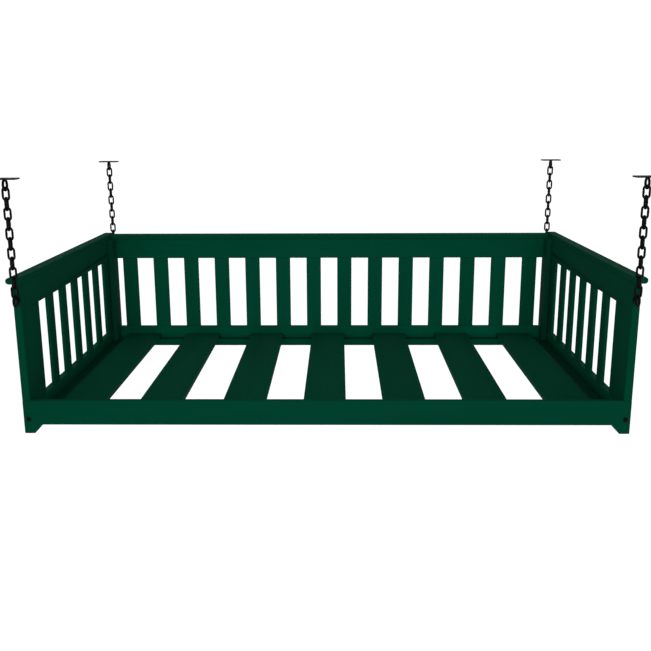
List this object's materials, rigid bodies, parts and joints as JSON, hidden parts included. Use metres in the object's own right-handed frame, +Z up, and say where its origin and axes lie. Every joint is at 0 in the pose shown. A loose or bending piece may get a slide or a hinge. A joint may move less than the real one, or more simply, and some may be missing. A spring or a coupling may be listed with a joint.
{
  "type": "hanging daybed porch swing",
  "caption": "Slatted three-sided wooden daybed swing with flat arm caps and open seat slats, hung level from ceiling plates on a chain at each corner.",
  "frame": {"origin": "on the ceiling plane, midway between the four hanger plates", "axes": "+X to the right as seen from the open front, +Y towards the slatted back, +Z up"},
  "size_m": [2.032, 1.24, 0.8367],
  "materials": {
    "green_wood": "satin deep green exterior paint on planed softwood",
    "black_steel": "semi-gloss black coating on steel",
    "painted_screw": "countersunk screw heads painted over with the frame"
  },
  "bodies": {
    "ceiling_hangers": {"hanger_fl": "black_steel", "hanger_fr": "black_steel", "hanger_bl": "black_steel", "hanger_br": "black_steel"},
    "top_links_fl": {"top_link_fl": "black_steel"},
    "chain_run_fl": {"chain_fl": "black_steel"},
    "lower_links_fl": {"lower_link_fl": "black_steel"},
    "top_links_fr": {"top_link_fr": "black_steel"},
    "chain_run_fr": {"chain_fr": "black_steel"},
    "lower_links_fr": {"lower_link_fr": "black_steel"},
    "top_links_bl": {"top_link_bl": "black_steel"},
    "chain_run_bl": {"chain_bl": "black_steel"},
    "lower_links_bl": {"lower_link_bl": "black_steel"},
    "top_links_br": {"top_link_br": "black_steel"},
    "chain_run_br": {"chain_br": "black_steel"},
    "lower_links_br": {"lower_link_br": "black_steel"},
    "swing_bed": {"chain_tail_fl": "black_steel", "chain_tail_fr": "black_steel", "chain_tail_bl": "black_steel", "chain_tail_br": "black_steel", "eye_bolts": "black_steel", "apron_bolts": "black_steel", "slat_screws": "black_steel", "front_post_left": "green_wood", "front_post_right": "green_wood", "rear_post_left": "green_wood", "rear_post_right": "green_wood", "side_bottom_rail_left": "green_wood", "side_bottom_rail_right": "green_wood", "side_top_rail_left": "green_wood", "side_top_rail_right": "green_wood", "side_stiles_left": "green_wood", "side_stiles_right": "green_wood", "side_slats_left": "green_wood", "side_slats_right": "green_wood", "arm_cap_left": "green_wood", "arm_cap_right": "green_wood", "corner_cleat_left": "green_wood", "corner_cleat_right": "green_wood", "side_ledger_left": "green_wood", "side_ledger_right": "green_wood", "front_apron": "green_wood", "rear_apron": "green_wood", "front_ledger": "green_wood", "rear_ledger": "green_wood", "back_bottom_rail": "green_wood", "back_top_rail": "green_wood", "back_stiles": "green_wood", "back_slats": "green_wood", "back_cap": "green_wood", "seat_slat_1": "green_wood", "seat_slat_2": "green_wood", "seat_slat_3": "green_wood", "seat_slat_4": "green_wood", "seat_slat_5": "green_wood", "seat_slat_6": "green_wood", "seat_slat_7": "green_wood", "cap_screws": "painted_screw", "cleat_screws": "painted_screw"}
  },
  "joints": [
    {"name": "swing_fl", "type": "hinge", "parent": "ceiling_hangers", "child": "top_links_fl", "pos_m": [-0.977, -0.598, -0.02935], "axis": [1, 0, 0], "range_deg": [-20, 20]},
    {"name": "sway_fl", "type": "hinge", "parent": "top_links_fl", "child": "chain_run_fl", "pos_m": [-0.977, -0.598, -0.06015], "axis": [0, 1, 0], "range_deg": [-10, 10]},
    {"name": "level_sway_fl", "type": "hinge", "parent": "chain_run_fl", "child": "lower_links_fl", "pos_m": [-0.977, -0.598, -0.28315], "axis": [0, 1, 0], "range_deg": [-10, 10]},
    {"name": "swing_fr", "type": "hinge", "parent": "ceiling_hangers", "child": "top_links_fr", "pos_m": [0.977, -0.598, -0.02935], "axis": [1, 0, 0], "range_deg": [-20, 20]},
    {"name": "sway_fr", "type": "hinge", "parent": "top_links_fr", "child": "chain_run_fr", "pos_m": [0.977, -0.598, -0.06015], "axis": [0, 1, 0], "range_deg": [-10, 10]},
    {"name": "level_sway_fr", "type": "hinge", "parent": "chain_run_fr", "child": "lower_links_fr", "pos_m": [0.977, -0.598, -0.28315], "axis": [0, 1, 0], "range_deg": [-10, 10]},
    {"name": "swing_bl", "type": "hinge", "parent": "ceiling_hangers", "child": "top_links_bl", "pos_m": [-0.977, 0.598, -0.02935], "axis": [1, 0, 0], "range_deg": [-20, 20]},
    {"name": "sway_bl", "type": "hinge", "parent": "top_links_bl", "child": "chain_run_bl", "pos_m": [-0.977, 0.598, -0.06015], "axis": [0, 1, 0], "range_deg": [-10, 10]},
    {"name": "level_sway_bl", "type": "hinge", "parent": "chain_run_bl", "child": "lower_links_bl", "pos_m": [-0.977, 0.598, -0.28315], "axis": [0, 1, 0], "range_deg": [-10, 10]},
    {"name": "swing_br", "type": "hinge", "parent": "ceiling_hangers", "child": "top_links_br", "pos_m": [0.977, 0.598, -0.02935], "axis": [1, 0, 0], "range_deg": [-20, 20]},
    {"name": "sway_br", "type": "hinge", "parent": "top_links_br", "child": "chain_run_br", "pos_m": [0.977, 0.598, -0.06015], "axis": [0, 1, 0], "range_deg": [-10, 10]},
    {"name": "level_sway_br", "type": "hinge", "parent": "chain_run_br", "child": "lower_links_br", "pos_m": [0.977, 0.598, -0.28315], "axis": [0, 1, 0], "range_deg": [-10, 10]},
    {"name": "level_swing", "type": "hinge", "parent": "lower_links_fl", "child": "swing_bed", "pos_m": [-0.977, -0.598, -0.31395], "axis": [1, 0, 0], "range_deg": [-20, 20]}
  ],
  "couplings": [
    {"joint": "level_sway_fl", "follows": "sway_fl", "ratio": -1},
    {"joint": "swing_fr", "follows": "swing_fl", "ratio": 1},
    {"joint": "sway_fr", "follows": "sway_fl", "ratio": 1},
    {"joint": "level_sway_fr", "follows": "sway_fl", "ratio": -1},
    {"joint": "swing_bl", "follows": "swing_fl", "ratio": 1},
    {"joint": "sway_bl", "follows": "sway_fl", "ratio": 1},
    {"joint": "level_sway_bl", "follows": "sway_fl", "ratio": -1},
    {"joint": "swing_br", "follows": "swing_fl", "ratio": 1},
    {"joint": "sway_br", "follows": "sway_fl", "ratio": 1},
    {"joint": "level_sway_br", "follows": "sway_fl", "ratio": -1},
    {"joint": "level_swing", "follows": "swing_fl", "ratio": -1}
  ]
}
